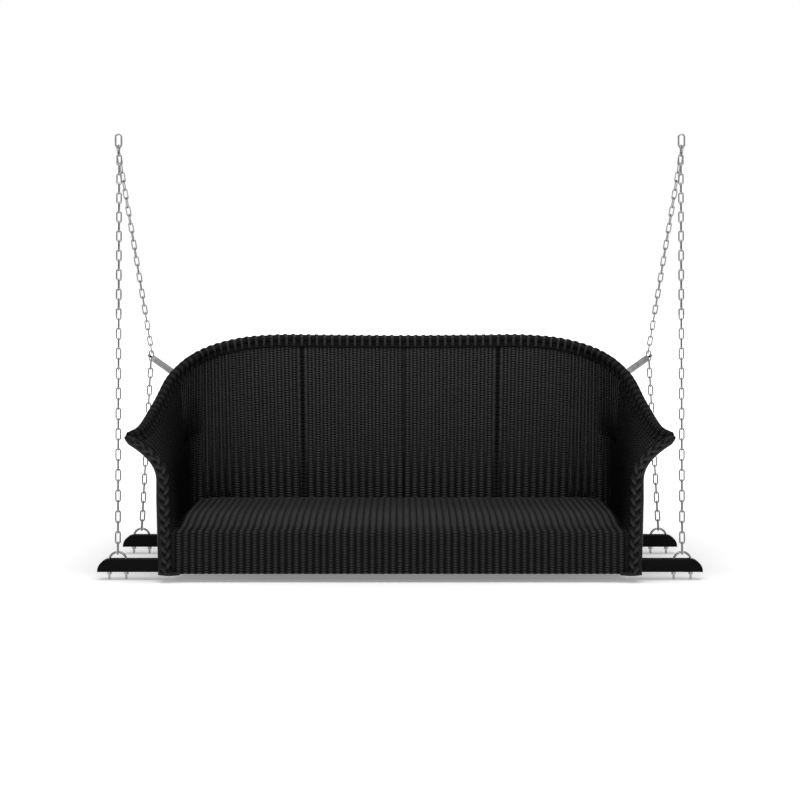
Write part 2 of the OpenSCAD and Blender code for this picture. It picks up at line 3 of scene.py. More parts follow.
import bpy
import numpy as np
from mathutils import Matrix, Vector


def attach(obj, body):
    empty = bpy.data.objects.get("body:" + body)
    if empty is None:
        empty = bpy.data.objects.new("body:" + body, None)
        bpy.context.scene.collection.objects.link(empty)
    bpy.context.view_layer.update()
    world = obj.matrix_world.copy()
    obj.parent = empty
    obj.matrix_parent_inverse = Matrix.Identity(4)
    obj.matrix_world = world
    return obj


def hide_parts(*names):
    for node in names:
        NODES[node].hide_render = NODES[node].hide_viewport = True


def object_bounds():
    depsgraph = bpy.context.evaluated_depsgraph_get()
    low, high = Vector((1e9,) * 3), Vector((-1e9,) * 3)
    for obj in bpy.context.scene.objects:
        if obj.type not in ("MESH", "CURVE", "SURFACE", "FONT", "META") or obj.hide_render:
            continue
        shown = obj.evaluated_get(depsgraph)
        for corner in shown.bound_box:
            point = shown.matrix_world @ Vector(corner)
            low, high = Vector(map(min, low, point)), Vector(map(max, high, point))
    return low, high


bl_info = {
    "name": "Woven Porch Swing",
    "version": (1, 0, 0),
    "blender": (4, 5, 0),
    "location": "View3D > Sidebar > Porch Swing",
    "description": "Weaves the body of a porch swing and finishes its metal and rails",
    "category": "Add Mesh",
}

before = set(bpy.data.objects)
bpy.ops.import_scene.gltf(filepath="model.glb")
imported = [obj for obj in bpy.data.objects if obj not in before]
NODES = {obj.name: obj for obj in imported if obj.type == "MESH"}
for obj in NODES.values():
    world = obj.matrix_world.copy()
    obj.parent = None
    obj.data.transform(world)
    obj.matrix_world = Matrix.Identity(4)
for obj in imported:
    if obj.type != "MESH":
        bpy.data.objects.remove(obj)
CAD_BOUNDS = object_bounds()

MM = 0.001

# ---------- sizes of the CAD, in millimetres from the apron's front and the body's bottom ----------
HOOK_BACK = 323.0
HOOK_HEIGHT = 1220.0
WEAVE_T = 8.0
ROLL_R = 15.0
SEAT_HEIGHT = 146.0
APRON_HEIGHT = 107.0
SEAT_HALF = 614.0
APRON_TOP_HALF = 621.0
BODY_HALF = 632.0
BACK_BASE = 484.0
CORNER_R = 60.0
NOSE_R = 15.0
SEAT_RISE = 24.0
SEAT_RISE_RUN = 190.0
EDGE_ROLL = 25.0
POST_X = 642.0
POST_Y = 14.0
WRAP_R = 17.0
UPRIGHT_X = 290.0
FLARE_START = 0.68
LEAN_START = 0.22
CORNER_START = BODY_HALF - CORNER_R
CORNER_ARC = CORNER_R * math.pi / 2
CORNER_Y = BACK_BASE - CORNER_R
WALL_END = CORNER_START + CORNER_ARC + CORNER_Y - POST_Y
ARM_TIP = np.array([744.0, POST_Y, 369.0])
RIM_ROWS = np.array(
    [
        [0, 0, 606, 614],
        [240, 250, 602, 616],
        [360, 377, 590, 617],
        [480, 499, 554, 606],
        [600, 602, 486, 573],
        [720, 667, 380, 516],
        [840, 693, 254, 446],
        [960, 710, 127, 395],
        [1030, 720, 62, 379],
        [WALL_END, 744, 14, 369],
    ],
    float,
)
ARM_FRONT = WALL_END - 18.5
PANEL_SEAM = 600.0
NOSE_ARC = NOSE_R * math.pi / 2
SEAT_END = APRON_HEIGHT + NOSE_ARC + BACK_BASE - WEAVE_T - 2.4 - NOSE_R

# ---------- values that only the looks use: millimetres, shares, counts and watts ----------
APRON_HALF = 621.0  # half width at the hem, where the CAD's apron is 6 mm narrower on each side
ARM_REACH = 9.0  # how far the arm's weave runs on past the CAD's arm
RIM_CLEARANCE = 10.5  # from the end of the wall's weave to the end of the wall surface
FOOT_IN = 597.0
PLAIT_INSET = 9.0
PLAIT_STAND_OFF = 3.7
PLAIT_PERIOD = 85.8
POST_TURNS = 118
TIP_HEIGHT = 1.008
CORNER_RIBS = (23, 24, 25, 26)
CORNER_FAN = np.arange(27, 31.5, 0.5)
FIRST_ROW = 2.2
STAKE = (2.2, 1.0)
POST_STRAND = (1.85, 1.3)
PLAIT_STRAND = (1.75, 1.2)
PLAIT_SWING = 9.2
PLAIT_LANE = 3.1
OVERHEAD_WATTS = 85
FRONT_WATTS = 15


def to_row(p):
    """Millimetres in the body's frame to metres in the row frame."""
    return (np.asarray(p, float) - np.array([0, HOOK_BACK, HOOK_HEIGHT])) * MM


def unit(v):
    return v / np.linalg.norm(v, axis=-1, keepdims=True)


def smooth(x):
    x = np.clip(x, 0, 1)
    return x * x * (3 - 2 * x)


# ---------- surfaces of the woven body ----------


def base_side(s):
    a = np.clip((s - CORNER_START) / CORNER_R, 0, math.pi / 2)
    x = np.where(s < CORNER_START, s, CORNER_START + CORNER_R * np.sin(a))
    y = np.where(
        s < CORNER_START,
        BACK_BASE,
        CORNER_Y + CORNER_R * np.cos(a) - np.maximum(0, s - CORNER_START - CORNER_ARC),
    )
    return np.stack([x, y], -1)


def rim_side(s):
    stations, p = RIM_ROWS[:, 0], RIM_ROWS[:, 1:]
    slopes = np.empty_like(p)
    slopes[0] = [p[1, 0] / stations[1], 0, 0]
    slopes[1:-1] = (p[2:] - p[:-2]) / (stations[2:] - stations[:-2])[:, None]
    slopes[-1] = (p[-1] - p[-2]) / (stations[-1] - stations[-2])
    i = np.clip(np.searchsorted(stations, s, side="right") - 1, 0, len(stations) - 2)
    h = (stations[i + 1] - stations[i])[..., None]
    t = (s[..., None] - stations[i][..., None]) / h
    a = 1 - 3 * t**2 + 2 * t**3
    return a * p[i] + (1 - a) * p[i + 1] + h * t * (1 - t) * ((1 - t) * slopes[i] - t * slopes[i + 1])


def flare(w):
    return 0.1 * w + 0.9 * np.maximum(0, (w - FLARE_START) / (1 - FLARE_START)) ** 2.2


def lean(w):
    return np.maximum(0, (w - LEAN_START) / (1 - LEAN_START)) ** 1.1


def wall(s, w):
    """A point of the woven wall: s is the distance round the base, w the share of the height."""
    s, w = np.broadcast_arrays(np.asarray(s, float), np.asarray(w, float))
    side = np.abs(s)
    k = smooth((side - 560) / (WALL_END - 560))
    f = lean(w) * (1 - k) + flare(w) * k
    b, r = base_side(side), rim_side(side)
    x = b[..., 0] + (r[..., 0] - b[..., 0]) * f
    y = b[..., 1] + (r[..., 1] - b[..., 1]) * f
    return np.stack([np.where(s < 0, -x, x), y, r[..., 2] * w], -1)


def wall_normal(s, w):
    """Towards the sitter."""
    return unit(np.cross(wall(s + 2, w) - wall(s - 2, w), wall(s, w + 0.01) - wall(s, w - 0.01)))


def wall_top(s):
    """Share of the height at which the weave stops, short of the middle of the rim."""
    probe = 0.02
    return 1 - RIM_CLEARANCE * probe / np.linalg.norm(wall(s, 1.0) - wall(s, 1.0 - probe), axis=-1)


def post(w, inset=0.0, y=POST_Y):
    w = np.asarray(w, float)
    return np.stack(
        [POST_X - inset + (ARM_TIP[0] - POST_X) * flare(w), np.full_like(w, y), ARM_TIP[2] * w], -1
    )


def winding_radius(w):
    """Radius of the strand's own middle line where it winds round a front post."""
    return WRAP_R * (1 - 0.18 * np.clip((np.asarray(w, float) - 0.55) / 0.3, 0, 1)) - 1.4


def seat_line(q):
    a = np.clip((q - APRON_HEIGHT) / NOSE_R, 0, math.pi / 2)
    y = NOSE_R + q - APRON_HEIGHT - NOSE_ARC
    deck = SEAT_HEIGHT - SEAT_RISE * np.maximum(0, 1 - (y - NOSE_R) / SEAT_RISE_RUN) ** 2
    on_apron, on_nose = q < APRON_HEIGHT, q < APRON_HEIGHT + NOSE_ARC
    return (
        np.where(on_apron, 0, np.where(on_nose, NOSE_R * (1 - np.cos(a)), y)),
        np.where(on_apron, q, np.where(on_nose, APRON_HEIGHT + NOSE_R * np.sin(a), deck)),
    )


def seat_half_at(q):
    half = np.where(
        q < APRON_HEIGHT,
        APRON_HALF + (APRON_TOP_HALF - APRON_HALF) * q / APRON_HEIGHT,
        APRON_TOP_HALF + (SEAT_HALF - APRON_TOP_HALF) * smooth((q - APRON_HEIGHT) / 50),
    )
    r = CORNER_R - WEAVE_T - 1.2
    reach = np.maximum(0, seat_line(q)[0] + WEAVE_T / 2 - CORNER_Y)
    return np.minimum(half, CORNER_START + np.sqrt(np.maximum(0, r * r - reach**2)))


def seat_mid(t, q):
    """Middle surface of the seat: t across from -1 to 1, q from the apron's hem to the back."""
    t, q = np.broadcast_arrays(np.asarray(t, float), np.asarray(q, float))
    y, z = seat_line(q)
    half = seat_half_at(q)
    r = EDGE_ROLL * smooth((q - APRON_HEIGHT - 10) / 60) + 0.01
    over = np.clip(np.abs(t) * half - half + r, 0, r)
    z = z - (r - np.sqrt(r * r - over * over)) - WEAVE_T / 2 * np.minimum(1, q / APRON_HEIGHT)
    return np.stack([t * half, y + WEAVE_T / 2, z], -1)


def seat_normal(t, q):
    across = seat_mid(t + 0.002, q) - seat_mid(t - 0.002, q)
    back = seat_mid(t, q + 1.5) - seat_mid(t, q - 1.5)
    return unit(np.cross(across, back))


# ---------- strands ----------


class Strands:
    """Gathers oval strands into one mesh. Paths are in the body's millimetres."""

    def __init__(self):
        self.points, self.quads, self.caps, self.tones, self.count = [], [], [], [], 0

    def add(self, path, normal, width, thick, tone=0.5, sides=6, closed=False):
        """path and normal are (strands, points, 3), width and thick half sizes, tone the paleness, which
        paints shade and highlight.
        """
        path = np.asarray(path, float)
        if path.ndim == 2:
            path, normal = path[None], np.asarray(normal, float)[None]
        normal = np.broadcast_to(normal, path.shape)
        if closed:
            tangent = unit(np.roll(path, -1, 1) - np.roll(path, 1, 1))
        else:
            ends = np.concatenate([path[:, :1], path, path[:, -1:]], 1)
            tangent = unit(ends[:, 2:] - ends[:, :-2])
        across = unit(np.cross(tangent, normal))
        up = np.cross(across, tangent)
        width = np.broadcast_to(np.asarray(width, float), path.shape[:2])[..., None, None]
        thick = np.broadcast_to(np.asarray(thick, float), path.shape[:2])[..., None, None]
        a = np.arange(sides) * 2 * math.pi / sides
        ring = (
            path[:, :, None]
            + width * np.cos(a)[:, None] * across[:, :, None]
            + thick * np.sin(a)[:, None] * up[:, :, None]
        )
        rows, n = path.shape[:2]
        tone = np.broadcast_to(np.asarray(tone, float), path.shape[:2])[..., None]
        self.tones.append(np.broadcast_to(tone, (rows, n, sides)).ravel())
        index = self.count + np.arange(rows * n * sides).reshape(rows, n, sides)
        nxt = np.roll(index, -1, 1) if closed else index[:, 1:]
        low = index if closed else index[:, :-1]
        quads = np.stack([low, np.roll(low, -1, 2), np.roll(nxt, -1, 2), nxt], -1)
        self.points.append(ring.reshape(-1, 3))
        self.quads.append(quads.reshape(-1, 4))
        if not closed:
            self.caps.append(index[:, 0, ::-1].reshape(-1, sides))
            self.caps.append(index[:, -1].reshape(-1, sides))
        self.count += rows * n * sides

    def build(self, name, material, body="seat", replaces=()):
        points = to_row(np.concatenate(self.points))
        quads = np.concatenate(self.quads)
        faces = [(quads, 4)] + [(c, c.shape[1]) for c in self.caps]
        loops = np.concatenate([f.ravel() for f, _ in faces])
        sizes = np.concatenate([np.full(len(f), n) for f, n in faces])
        mesh = bpy.data.meshes.new(name)
        mesh.vertices.add(len(points))
        mesh.vertices.foreach_set("co", points.astype(np.float32).ravel())
        mesh.loops.add(len(loops))
        mesh.loops.foreach_set("vertex_index", loops.astype(np.int32))
        mesh.polygons.add(len(sizes))
        starts = np.concatenate([[0], np.cumsum(sizes)[:-1]])
        mesh.polygons.foreach_set("loop_start", starts.astype(np.int32))
        mesh.polygons.foreach_set("use_smooth", sizes == 4)
        mesh.update(calc_edges=True)
        tone = mesh.attributes.new("tone", "FLOAT", "POINT")
        tone.data.foreach_set("value", np.concatenate(self.tones).astype(np.float32))
        mesh.validate()
        piece = bpy.data.objects.new(name, mesh)
        bpy.context.scene.collection.objects.link(piece)
        mesh.materials.append(material)
        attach(piece, body)
        if replaces:
            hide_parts(*replaces)
        return piece


def mirrored(p):
    return np.asarray(p) * np.array([-1.0, 1.0, 1.0])


# ---------- settings ----------


class PorchSwingWeave(bpy.types.PropertyGroup):
    strand_width: bpy.props.FloatProperty(
        name="Strand width",
        description="Width of one woven strand",
        default=4.7 * MM, unit="LENGTH", precision=4
    )
    strand_thickness: bpy.props.FloatProperty(
        name="Strand thickness",
        description="Thickness of one woven strand",
        default=2.9 * MM, unit="LENGTH", precision=4
    )
    row_pitch: bpy.props.FloatProperty(
        name="Row pitch",
        description="Distance between two rows of the weave",
        default=3.75 * MM, unit="LENGTH", precision=4
    )
    wall_stake_pitch: bpy.props.FloatProperty(
        name="Wall stake pitch",
        description="Distance between two stakes of the back and arms",
        default=22.3 * MM, unit="LENGTH", precision=4
    )
    seat_stake_pitch: bpy.props.FloatProperty(
        name="Seat stake pitch",
        description="Distance between two stakes of the seat",
        default=18.9 * MM, unit="LENGTH", precision=4
    )
    strand_colour: bpy.props.FloatVectorProperty(
        name="Strand colour",
        description="Colour of the woven strands",
        subtype="COLOR", size=3, min=0, max=1, default=(0.013, 0.013, 0.0136)
    )


class PorchSwingMetal(bpy.types.PropertyGroup):
    zinc_colour: bpy.props.FloatVectorProperty(
        name="Zinc colour",
        description="Colour of the chain and bolts",
        subtype="COLOR", size=3, min=0, max=1, default=(0.4, 0.405, 0.41)
    )
    grey_tube_colour: bpy.props.FloatVectorProperty(
        name="Support arm colour",
        description="Colour of the chain support arms",
        subtype="COLOR", size=3, min=0, max=1, default=(0.3, 0.3, 0.305)
    )
    rail_colour: bpy.props.FloatVectorProperty(
        name="Rail colour",
        description="Colour of the painted rails",
        subtype="COLOR", size=3, min=0, max=1, default=(0.0015, 0.0015, 0.0017)
    )


class PorchSwingStage(bpy.types.PropertyGroup):
    floor_drop: bpy.props.FloatProperty(
        name="Floor drop",
        description="Distance of the floor below the lowest bolt",
        default=1 * MM, unit="LENGTH", precision=4
    )
    lens: bpy.props.FloatProperty(
        name="Lens", description="Focal length of the camera, in millimetres", default=72.95, min=10
    )
    camera_distance: bpy.props.FloatProperty(
        name="Camera distance",
        description="Distance of the camera in front of the apron",
        default=4.4, unit="LENGTH"
    )
    camera_height: bpy.props.FloatProperty(
        name="Camera height",
        description="Height of the camera above the bottom of the body",
        default=0.81, unit="LENGTH"
    )
    camera_shift: bpy.props.FloatProperty(
        name="Camera shift",
        description="Vertical shift of the lens, as a share of the picture",
        default=-0.155
    )


# ---------- materials ----------


def new_material(name):
    material = bpy.data.materials.new(name)
    material.use_nodes = True
    tree = material.node_tree
    shader = tree.nodes["Principled BSDF"]
    return material, tree, shader


def noise(tree, scale, detail=4.0, stretch=(1, 1, 1)):
    coords = tree.nodes.new("ShaderNodeTexCoord")
    mapping = tree.nodes.new("ShaderNodeMapping")
    mapping.inputs["Scale"].default_value = stretch
    texture = tree.nodes.new("ShaderNodeTexNoise")
    texture.inputs["Scale"].default_value = scale
    texture.inputs["Detail"].default_value = detail
    tree.links.new(coords.outputs["Object"], mapping.inputs["Vector"])
    tree.links.new(mapping.outputs["Vector"], texture.inputs["Vector"])
    return texture


def ramp(tree, source, low, high, a=0.35, b=0.65):
    node = tree.nodes.new("ShaderNodeValToRGB")
    node.color_ramp.elements[0].position = a
    node.color_ramp.elements[1].position = b
    node.color_ramp.elements[0].color = (*low, 1)
    node.color_ramp.elements[1].color = (*high, 1)
    tree.links.new(source, node.inputs["Fac"])
    return node.outputs["Color"]


def span(tree, source, low, high):
    node = tree.nodes.new("ShaderNodeMapRange")
    node.inputs["To Min"].default_value = low
    node.inputs["To Max"].default_value = high
    tree.links.new(source, node.inputs["Value"])
    return node.outputs["Result"]


def bump(tree, shader, source, strength, distance):
    node = tree.nodes.new("ShaderNodeBump")
    node.inputs["Strength"].default_value = strength
    node.inputs["Distance"].default_value = distance
    tree.links.new(source, node.inputs["Height"])
    tree.links.new(node.outputs["Normal"], shader.inputs["Normal"])


def strand_material(name, colour):
    """Black strand whose tone paints shade and highlight on it: paler and shinier at 1, darker and duller
    at 0.
    """
    material, tree, shader = new_material(name)
    patches = noise(tree, 38)
    grain = noise(tree, 900, 3)
    # painted shade and highlight: the tone attribute darkens recesses, creases and arm corners and pales
    # proud strands
    shade_and_highlight_tone = tree.nodes.new("ShaderNodeAttribute")
    shade_and_highlight_tone.attribute_name = "tone"
    share = tree.nodes.new("ShaderNodeMath")
    share.operation = "MULTIPLY"
    tree.links.new(shade_and_highlight_tone.outputs["Fac"], share.inputs[0])
    tree.links.new(span(tree, patches.outputs["Fac"], 0.75, 1.25), share.inputs[1])
    dark = tuple(c * 0.12 for c in colour)
    tree.links.new(ramp(tree, share.outputs[0], dark, colour, 0, 1), shader.inputs["Base Color"])
    tree.links.new(span(tree, share.outputs[0], 0.02, 0.5), shader.inputs["Specular IOR Level"])
    tree.links.new(span(tree, patches.outputs["Fac"], 0.36, 0.52), shader.inputs["Roughness"])
    bump(tree, shader, grain.outputs["Fac"], 0.25, 0.0004)
    return material


def zinc_material(name, colour, roughness):
    material, tree, shader = new_material(name)
    patches = noise(tree, 160, 5)
    fine = noise(tree, 1400, 2)
    low = tuple(c * 0.78 for c in colour)
    tree.links.new(ramp(tree, patches.outputs["Fac"], low, colour), shader.inputs["Base Color"])
    tree.links.new(span(tree, patches.outputs["Fac"], *roughness), shader.inputs["Roughness"])
    bump(tree, shader, fine.outputs["Fac"], 0.12, 0.0002)
    shader.inputs["Metallic"].default_value = 1.0
    return material


def paint_material(name, colour, roughness, grain_scale, stretch, depth):
    material, tree, shader = new_material(name)
    tone = noise(tree, 22, 4, stretch)
    grain = noise(tree, grain_scale, 5, stretch)
    low = tuple(c * 0.7 for c in colour)
    high = tuple(c * 1.35 for c in colour)
    tree.links.new(ramp(tree, tone.outputs["Fac"], low, high), shader.inputs["Base Color"])
    tree.links.new(span(tree, tone.outputs["Fac"], *roughness), shader.inputs["Roughness"])
    bump(tree, shader, grain.outputs["Fac"], 0.2, depth)
    shader.inputs["Specular IOR Level"].default_value = 0.07
    return material


def dress(material, *names):
    for name in names:
        slots = NODES[name].data.materials
        if len(slots):
            for i in range(len(slots)):
                slots[i] = material
        else:
            slots.append(material)


def both(stem):
    return stem + "_left", stem + "_right"


def weave_settings():
    return bpy.context.scene.porch_swing_weave


def strand_finish():
    found = bpy.data.materials.get("black strand")
    return found or strand_material("black strand", tuple(weave_settings().strand_colour))


# ---------- weaving ----------


# Half way between two stakes, a quarter of the way, and at a stake
CROSSING = (0.0, 0.707, 1.0)
ROW_OFFSET = (0.0, 1.15, 1.7)
ROW_WIDTH = (1.14, 1.28, 1.55)
# painted shade and highlight: each row is painted darker or paler by where it crosses the stakes, at the
# same three places
BOLD_TONE = (0.04, 0.4, 0.9)
FINE_TONE = (0.72, 0.12, 0.85)
CALM_TONE = (0.1, 0.62, 0.7)


def weft(k, rows, fine=0.0, calm=0.0):
    """Offset, half width and tone of each row, which passes before one stake and behind the next; the tone
    paints shade and highlight.
    """
    side = np.cos(math.pi * k)[None, :] * np.where(np.arange(rows) % 2, -1, 1)[:, None]
    reach = np.abs(side)
    offset = np.sign(side) * np.interp(reach, CROSSING, ROW_OFFSET)
    half_width = np.interp(reach, CROSSING, ROW_WIDTH) * weave_settings().strand_width / MM / 2
    bold, thin, even = (np.interp(reach, CROSSING, tones) for tones in (BOLD_TONE, FINE_TONE, CALM_TONE))
    return offset, half_width, bold * (1 - fine - calm) + thin * fine + even * calm


def crease_at(s):
    """1 inside the two narrow creases of the back, 0 outside."""
    return smooth(1.6 - np.abs(np.abs(s) - UPRIGHT_X) / 5.0)


def those_within(places, s0, s1):
    return np.array([s for s in places if s0 <= s < s1])


def weave_wall(strands, s0, s1):
    """Weft rows and stakes of the wall between two distances round the base."""
    weave = weave_settings()
    pitch = weave.wall_stake_pitch / MM
    row = weave.row_pitch / MM
    half_t = weave.strand_thickness / MM / 2
    step = pitch / 4
    s = np.arange(math.ceil(s0 / step), math.floor(s1 / step) + 1) * step
    s = np.unique(np.concatenate([[s0], s, [s1]]))
    s = s[np.concatenate([[True], np.diff(s) > 0.8])]
    w = np.linspace(0, 1, 61)[None, :] * wall_top(s)[:, None]
    surface = wall(s[:, None], w)
    length = np.concatenate(
        [np.zeros((len(s), 1)), np.cumsum(np.linalg.norm(np.diff(surface, axis=1), axis=2), axis=1)], 1
    )
    rows = int(length[:, -1].max() / row)
    level = FIRST_ROW + row * np.arange(rows)
    share = np.stack([np.interp(level, length[i], w[i]) for i in range(len(s))], 1)
    alive = level[:, None] <= length[:, -1][None, :] - 0.5
    wave, half_w, tone = weft(s / pitch, rows, smooth((share - 0.3) / 0.25))
    side = np.abs(s)[None, :]
    # painted shade: strands darker low down inside the corner of each arm
    around = smooth((side - 620) / 50) * (1 - smooth((side - 820) / 200))
    painted_corner_shade = around * (1 - smooth((share - 0.35) / 0.6))
    tone = tone * (1 - 0.8 * painted_corner_shade)
    crease = crease_at(s)[None, :]
    rung = np.where(np.arange(rows) % 3 == 0, 0.0, -2.4)[:, None]
    wave = wave * (1 - crease) + rung * crease
    # painted shade: strands in the two creases of the back made near black
    tone = tone * (1 - crease) + 0.05 * crease
    grid_s = np.broadcast_to(s, share.shape)
    normal = wall_normal(grid_s, share)
    path = wall(grid_s, share) + wave[..., None] * normal
    full = alive.all(1)
    strands.add(path[full], normal[full], half_w[full], half_t, tone[full])
    for j in np.nonzero(~full)[0]:
        run = np.nonzero(alive[j])[0]
        if len(run) > 2:
            strands.add(path[j, run], normal[j, run], half_w[j, run][None], half_t, tone[j, run][None])
    first, last = math.ceil((s0 + 2) / pitch), math.floor((s1 - 2) / pitch)
    stakes = [k * pitch for k in range(first, last + 1) if abs(abs(k * pitch) - UPRIGHT_X) > 5]
    for middle in (-UPRIGHT_X, UPRIGHT_X):
        if s0 < middle < s1:
            stakes += [middle - 6.5, middle + 6.5]
    stakes = np.array(sorted(stakes))
    up = np.linspace(0.004, 1, 26)[None, :] * wall_top(stakes)[:, None]
    line = np.broadcast_to(stakes[:, None], up.shape)
    # painted shade: stakes beside the two creases painted darker
    strands.add(wall(line, up), wall_normal(line, up), *STAKE, 0.6 * (1 - crease_at(line)))
    ribs = those_within([side * k * pitch for side in (-1, 1) for k in CORNER_RIBS], s0, s1)
    if len(ribs):
        up = np.linspace(0.25, 1, 22)[None, :] * wall_top(ribs)[:, None]
        line = np.broadcast_to(ribs[:, None], up.shape)
        normal = wall_normal(line, up)
        strands.add(wall(line, up) + 2.8 * normal, normal, 3.1, 1.6, 0.9)
    fan = those_within([side * k * pitch for side in (-1, 1) for k in CORNER_FAN], s0, s1)
    if len(fan):
        up = np.linspace(0.6, 1, 14)[None, :] * wall_top(fan)[:, None]
        line = np.broadcast_to(fan[:, None], up.shape)
        normal = wall_normal(line, up)
        strands.add(wall(line, up) + 2.6 * normal, normal, 1.3, 1.3, smooth((up - 0.6) / 0.25))


def hem(strands, s0, s1):
    """Two strands twisted along the bottom edge of the wall."""
    s = np.linspace(s0, s1, int(abs(s1 - s0) / 5.5))
    w = np.full_like(s, 3.0 / 500)
    normal = wall_normal(s, w)
    for phase in (0, math.pi):
        turn = 2 * math.pi * s / 22.3 + phase
        path = wall(s, w) + normal * (1.7 * np.sin(turn))[:, None]
        path[:, 2] += 1.2 * np.cos(turn)
        strands.add(path, normal, 1.9, 1.6)


class SWING_OT_weave_back(bpy.types.Operator):
    """Weave the back in four panels, with the two creases where it is tied to its uprights"""

    bl_idname = "porch_swing.weave_back"
    bl_label = "Weave the back"

    def execute(self, context):
        between = weave_settings().wall_stake_pitch / MM / 2
        cuts = (-PANEL_SEAM, -UPRIGHT_X - 20, between, UPRIGHT_X + 20, PANEL_SEAM)
        names = ("back_weave_left", "back_weave_middle_left", "back_weave_middle_right", "back_weave_right")
        for name, s0, s1 in zip(names, cuts[:-1], cuts[1:]):
            strands = Strands()
            weave_wall(strands, s0, s1)
            hem(strands, s0, s1)
            strands.build(name, strand_finish(), replaces=("woven_back",))
        return {"FINISHED"}


class SWING_OT_weave_arms(bpy.types.Operator):
    """Weave the two flared arms, from the back's seams to the front posts"""

    bl_idname = "porch_swing.weave_arms"
    bl_label = "Weave the arms"

    def execute(self, context):
        for name, s0, s1 in (
            ("left", -ARM_FRONT - ARM_REACH, -PANEL_SEAM),
            ("right", PANEL_SEAM, ARM_FRONT + ARM_REACH),
        ):
            strands = Strands()
            weave_wall(strands, s0, s1)
            hem(strands, s0, s1)
            strands.build(
                "arm_weave_" + name, strand_finish(), replaces=("woven_arm_" + name,)
            )
        return {"FINISHED"}


class SWING_OT_weave_seat(bpy.types.Operator):
    """Weave the seat, its rounded front edge and the apron, with the looped hem of the apron"""

    bl_idname = "porch_swing.weave_seat"
    bl_label = "Weave the seat"

    def execute(self, context):
        weave = weave_settings()
        pitch = weave.seat_stake_pitch / MM
        row = weave.row_pitch / MM * 0.97
        half_t = weave.strand_thickness / MM / 2
        stakes = 2 * int(round(APRON_TOP_HALF / pitch))
        k = np.arange(stakes * 4 + 1) / 4
        t = 2 * k / stakes - 1
        q = np.arange(4.5, SEAT_END - 1.5, row)
        deck = smooth((q - APRON_HEIGHT - 5) / 70)[:, None]
        wave, half_w, tone = weft(k, len(q), calm=deck)
        # painted light: rows on the seat's top paler than those on the apron and round the front edge
        tone = tone * (0.78 + 0.3 * deck)
        grid_t, grid_q = np.broadcast_arrays(t[None, :] * 0.9985, q[:, None])
        normal = seat_normal(grid_t, grid_q)
        path = seat_mid(grid_t, grid_q) + wave[..., None] * normal
        groups = np.array_split(np.arange(len(q)), 4)
        for name, rows in zip(("apron", "front", "middle", "rear"), groups):
            strands = Strands()
            strands.add(path[rows], normal[rows], half_w[rows], half_t, tone[rows])
            ends = (q[rows[0]] - row / 2, q[rows[-1]] + row / 2)
            along = np.arange(ends[0], ends[1] + 0.01, (ends[1] - ends[0]) / 24)
            across = 2 * np.arange(1, stakes) / stakes - 1
            posts_t, posts_q = np.broadcast_arrays(across[:, None], along[None, :])
            strands.add(seat_mid(posts_t, posts_q), seat_normal(posts_t, posts_q), *STAKE)
            if name == "apron":
                self.loops(strands, stakes)
            strands.build("seat_weave_" + name, strand_finish(), replaces=("woven_seat",))
        return {"FINISHED"}

    @staticmethod
    def loops(strands, stakes):
        """Each stake turns at the hem and runs back up beside the next one."""
        a = np.linspace(0, math.pi, 9)
        for layer, depth in ((0, 1.6), (1, -1.4)):
            k = np.arange(layer, stakes - 1)
            middle = (k[:, None] + 0.5 - 0.46 * np.cos(a)[None, :]) * 2 / stakes - 1
            q = np.broadcast_to(5.2 - 3.4 * np.sin(a)[None, :], middle.shape)
            normal = seat_normal(middle, np.maximum(q, 2.0))
            strands.add(seat_mid(middle, q) + depth * normal, normal, 1.7, 1.4)


# ---------- borders ----------


def rim_frame(s):
    centre = wall(s, 1.0)
    inward = wall_normal(s, 1.0)
    tangent = unit(wall(s + 2, 1.0) - wall(s - 2, 1.0))
    inward = unit(inward - (inward * tangent).sum(-1, keepdims=True) * tangent)
    up = np.cross(tangent, inward)
    up = np.where(up[..., 2:] < 0, -up, up)
    return centre, inward, up


class SWING_OT_wind_border(bpy.types.Operator):
    """Wind the slanting strands of the border over the rim"""

    bl_idname = "porch_swing.wind_border"
    bl_label = "Wind the border"

    def execute(self, context):
        end = WALL_END - 8
        strands = Strands()
        pitch = weave_settings().wall_stake_pitch / MM
        angle = np.radians(np.linspace(-20, 255, 14))
        radius = ROLL_R - 1.8
        rib = [(4.2, -25.0), (6.5, -19.0), (9.5, -12.0)]
        rib += [(radius * math.cos(a), radius * math.sin(a)) for a in angle]
        x, y = np.array(rib).T[:, None, :, None]
        slant = 15.0 * np.concatenate([[0, 0, 0], np.clip((np.degrees(angle) - 50) / 165, 0, 1)])
        for side in (-1, 1):
            ribs = np.arange(0 if side > 0 else 1, 28)
            for lane in (-1.7, 1.7):
                s = side * (ribs[:, None] * pitch + lane + slant[None, :])
                centre, inward, up = rim_frame(s)
                facing = np.where(y < -12, inward, unit(x * inward + np.maximum(y, -3) * up))
                tone = 0.95 - 0.3 * smooth((np.abs(s) - 480) / 120)
                strands.add(centre + x * inward + y * up, facing, 1.9, 1.5, tone)
        k = np.arange(-int(4 * end / pitch), int(4 * end / pitch) + 1) / 4
        s = k * pitch
        centre, inward, up = rim_frame(s)
        woven = smooth((np.abs(s) - 590) / 50)
        turns = np.radians(np.arange(-60, 241, 16))
        wave, half_w, tone = weft(k, len(turns))
        for turn, bulge, width, light in zip(turns, wave, half_w, tone):
            outward = math.cos(turn) * inward + math.sin(turn) * up
            reach = 10.8 + (2.0 + 0.4 * bulge) * woven
            shade = 0.12 + (0.7 * light - 0.12) * woven
            strands.add(centre + reach[:, None] * outward, outward, width[None], 1.3, shade[None])
        for row, drop in enumerate((-24.5, -20.5, -16.5, -12.5)):
            reach = 5.0 + 0.16 * (drop + 24.5) - 1.2 * woven
            light = 0.12 + (0.7 * tone[row % 2] - 0.12) * woven
            strands.add(centre + reach[:, None] * inward + drop * up, inward, 2.2, 1.3, light[None])
        strands.build("rim_border_winding", strand_finish(), replaces=("rim_border",))
        return {"FINISHED"}


